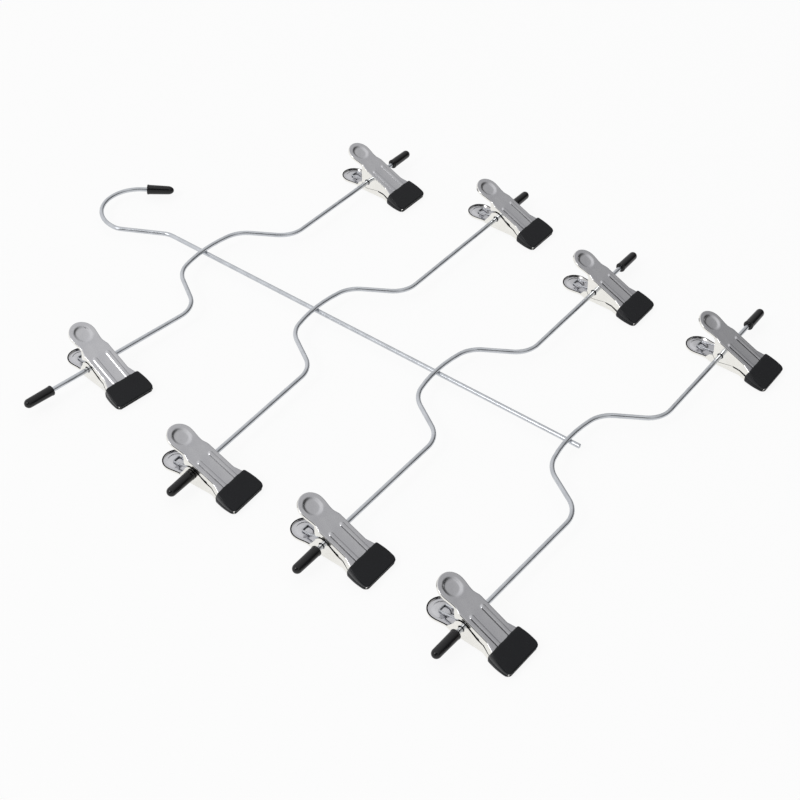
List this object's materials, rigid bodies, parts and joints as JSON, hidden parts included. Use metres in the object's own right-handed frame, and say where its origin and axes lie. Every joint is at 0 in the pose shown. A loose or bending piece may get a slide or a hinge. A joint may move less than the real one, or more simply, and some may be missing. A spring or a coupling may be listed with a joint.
{
  "type": "tiered trouser hanger",
  "caption": "Wire hanger with an open hook, stacked cross bars and sliding spring clips with black tips, for trousers and skirts.",
  "frame": {"origin": "middle of the lying hanger's outline on the surface that it lies on", "axes": "+X along the cross bars toward the viewer's right as one faces the hanger, +Y up the spine toward the hook, +Z out of the front, so it lies face up"},
  "size_m": [0.3942, 0.472, 0.0284],
  "materials": {
    "wire": "bright zinc plated wire",
    "plated_sheet": "nickel plated pressed sheet, satin on the faces and bright on the sides",
    "black_vinyl": "dipped glossy black vinyl",
    "spring_wire": "plated spring steel"
  },
  "bodies": {
    "frame": {"spine_wire": "wire", "hook_cap": "black_vinyl", "cross_bar_1": "wire", "cross_bar_2": "wire", "cross_bar_3": "wire", "cross_bar_4": "wire", "end_cap_1_left": "black_vinyl", "end_cap_1_right": "black_vinyl", "end_cap_2_left": "black_vinyl", "end_cap_2_right": "black_vinyl", "end_cap_3_left": "black_vinyl", "end_cap_3_right": "black_vinyl", "end_cap_4_left": "black_vinyl", "end_cap_4_right": "black_vinyl"},
    "clip_1_left_back": {"clip_1_left_back_lever": "plated_sheet", "clip_1_left_back_tip": "black_vinyl", "clip_1_left_spring": "spring_wire"},
    "clip_1_left_front": {"clip_1_left_front_lever": "plated_sheet", "clip_1_left_front_tip": "black_vinyl"},
    "clip_1_right_back": {"clip_1_right_back_lever": "plated_sheet", "clip_1_right_back_tip": "black_vinyl", "clip_1_right_spring": "spring_wire"},
    "clip_1_right_front": {"clip_1_right_front_lever": "plated_sheet", "clip_1_right_front_tip": "black_vinyl"},
    "clip_2_left_back": {"clip_2_left_back_lever": "plated_sheet", "clip_2_left_back_tip": "black_vinyl", "clip_2_left_spring": "spring_wire"},
    "clip_2_left_front": {"clip_2_left_front_lever": "plated_sheet", "clip_2_left_front_tip": "black_vinyl"},
    "clip_2_right_back": {"clip_2_right_back_lever": "plated_sheet", "clip_2_right_back_tip": "black_vinyl", "clip_2_right_spring": "spring_wire"},
    "clip_2_right_front": {"clip_2_right_front_lever": "plated_sheet", "clip_2_right_front_tip": "black_vinyl"},
    "clip_3_left_back": {"clip_3_left_back_lever": "plated_sheet", "clip_3_left_back_tip": "black_vinyl", "clip_3_left_spring": "spring_wire"},
    "clip_3_left_front": {"clip_3_left_front_lever": "plated_sheet", "clip_3_left_front_tip": "black_vinyl"},
    "clip_3_right_back": {"clip_3_right_back_lever": "plated_sheet", "clip_3_right_back_tip": "black_vinyl", "clip_3_right_spring": "spring_wire"},
    "clip_3_right_front": {"clip_3_right_front_lever": "plated_sheet", "clip_3_right_front_tip": "black_vinyl"},
    "clip_4_left_back": {"clip_4_left_back_lever": "plated_sheet", "clip_4_left_back_tip": "black_vinyl", "clip_4_left_spring": "spring_wire"},
    "clip_4_left_front": {"clip_4_left_front_lever": "plated_sheet", "clip_4_left_front_tip": "black_vinyl"},
    "clip_4_right_back": {"clip_4_right_back_lever": "plated_sheet", "clip_4_right_back_tip": "black_vinyl", "clip_4_right_spring": "spring_wire"},
    "clip_4_right_front": {"clip_4_right_front_lever": "plated_sheet", "clip_4_right_front_tip": "black_vinyl"}
  },
  "joints": [
    {"name": "clip_1_left_slide", "type": "slide", "parent": "frame", "child": "clip_1_left_back", "axis": [-0.9932, 0.1167, 0], "range_m": [-0.05698, 0.02795]},
    {"name": "clip_1_left_open", "type": "hinge", "parent": "clip_1_left_back", "child": "clip_1_left_front", "pos_m": [-0.13863, 0.1088, 0.0092], "axis": [-0.9932, 0.1167, 0], "range_deg": [0, 30], "stiffness_Nm_per_rad": 0.2, "springref_deg": -45.84, "deforming": ["clip_1_left_spring"]},
    {"name": "clip_1_right_slide", "type": "slide", "parent": "frame", "child": "clip_1_right_back", "axis": [1, 0, 0], "range_m": [-0.07541, 0.01185]},
    {"name": "clip_1_right_open", "type": "hinge", "parent": "clip_1_right_back", "child": "clip_1_right_front", "pos_m": [0.142, 0.10073, 0.0092], "axis": [-1, 0, 0], "range_deg": [0, 30], "stiffness_Nm_per_rad": 0.2, "springref_deg": -45.84, "deforming": ["clip_1_right_spring"]},
    {"name": "clip_2_left_slide", "type": "slide", "parent": "frame", "child": "clip_2_left_back", "axis": [-0.9992, -0.0401, 0], "range_m": [-0.08782, 0.00025]},
    {"name": "clip_2_left_open", "type": "hinge", "parent": "clip_2_left_back", "child": "clip_2_left_front", "pos_m": [-0.16672, -0.00322, 0.0092], "axis": [-0.9992, -0.0401, 0], "range_deg": [0, 30], "stiffness_Nm_per_rad": 0.2, "springref_deg": -45.84, "deforming": ["clip_2_left_spring"]},
    {"name": "clip_2_right_slide", "type": "slide", "parent": "frame", "child": "clip_2_right_back", "axis": [1, 0, 0], "range_m": [-0.09831, 0.00215]},
    {"name": "clip_2_right_open", "type": "hinge", "parent": "clip_2_right_back", "child": "clip_2_right_front", "pos_m": [0.1649, 0.00073, 0.0092], "axis": [-1, 0, 0], "range_deg": [0, 30], "stiffness_Nm_per_rad": 0.2, "springref_deg": -45.84, "deforming": ["clip_2_right_spring"]},
    {"name": "clip_3_left_slide", "type": "slide", "parent": "frame", "child": "clip_3_left_back", "axis": [-1, 0, 0], "range_m": [-0.08292, 0.00435]},
    {"name": "clip_3_left_open", "type": "hinge", "parent": "clip_3_left_back", "child": "clip_3_left_front", "pos_m": [-0.1627, -0.09927, 0.0092], "axis": [-1, 0, 0], "range_deg": [0, 30], "stiffness_Nm_per_rad": 0.2, "springref_deg": -45.84, "deforming": ["clip_3_left_spring"]},
    {"name": "clip_3_right_slide", "type": "slide", "parent": "frame", "child": "clip_3_right_back", "axis": [1, 0, 0], "range_m": [-0.07011, 0.01715]},
    {"name": "clip_3_right_open", "type": "hinge", "parent": "clip_3_right_back", "child": "clip_3_right_front", "pos_m": [0.1367, -0.09927, 0.0092], "axis": [-1, 0, 0], "range_deg": [0, 30], "stiffness_Nm_per_rad": 0.2, "springref_deg": -45.84, "deforming": ["clip_3_right_spring"]},
    {"name": "clip_4_left_slide", "type": "slide", "parent": "frame", "child": "clip_4_left_back", "axis": [-0.9994, 0.0349, 0], "range_m": [-0.08202, 0.00455]},
    {"name": "clip_4_left_open", "type": "hinge", "parent": "clip_4_left_back", "child": "clip_4_left_front", "pos_m": [-0.16244, -0.19601, 0.0092], "axis": [-0.9994, 0.0349, 0], "range_deg": [0, 30], "stiffness_Nm_per_rad": 0.2, "springref_deg": -45.84, "deforming": ["clip_4_left_spring"]},
    {"name": "clip_4_right_slide", "type": "slide", "parent": "frame", "child": "clip_4_right_back", "axis": [1, 0, 0], "range_m": [-0.06592, 0.02135]},
    {"name": "clip_4_right_open", "type": "hinge", "parent": "clip_4_right_back", "child": "clip_4_right_front", "pos_m": [0.1325, -0.19927, 0.0092], "axis": [-1, 0, 0], "range_deg": [0, 30], "stiffness_Nm_per_rad": 0.2, "springref_deg": -45.84, "deforming": ["clip_4_right_spring"]}
  ]
}
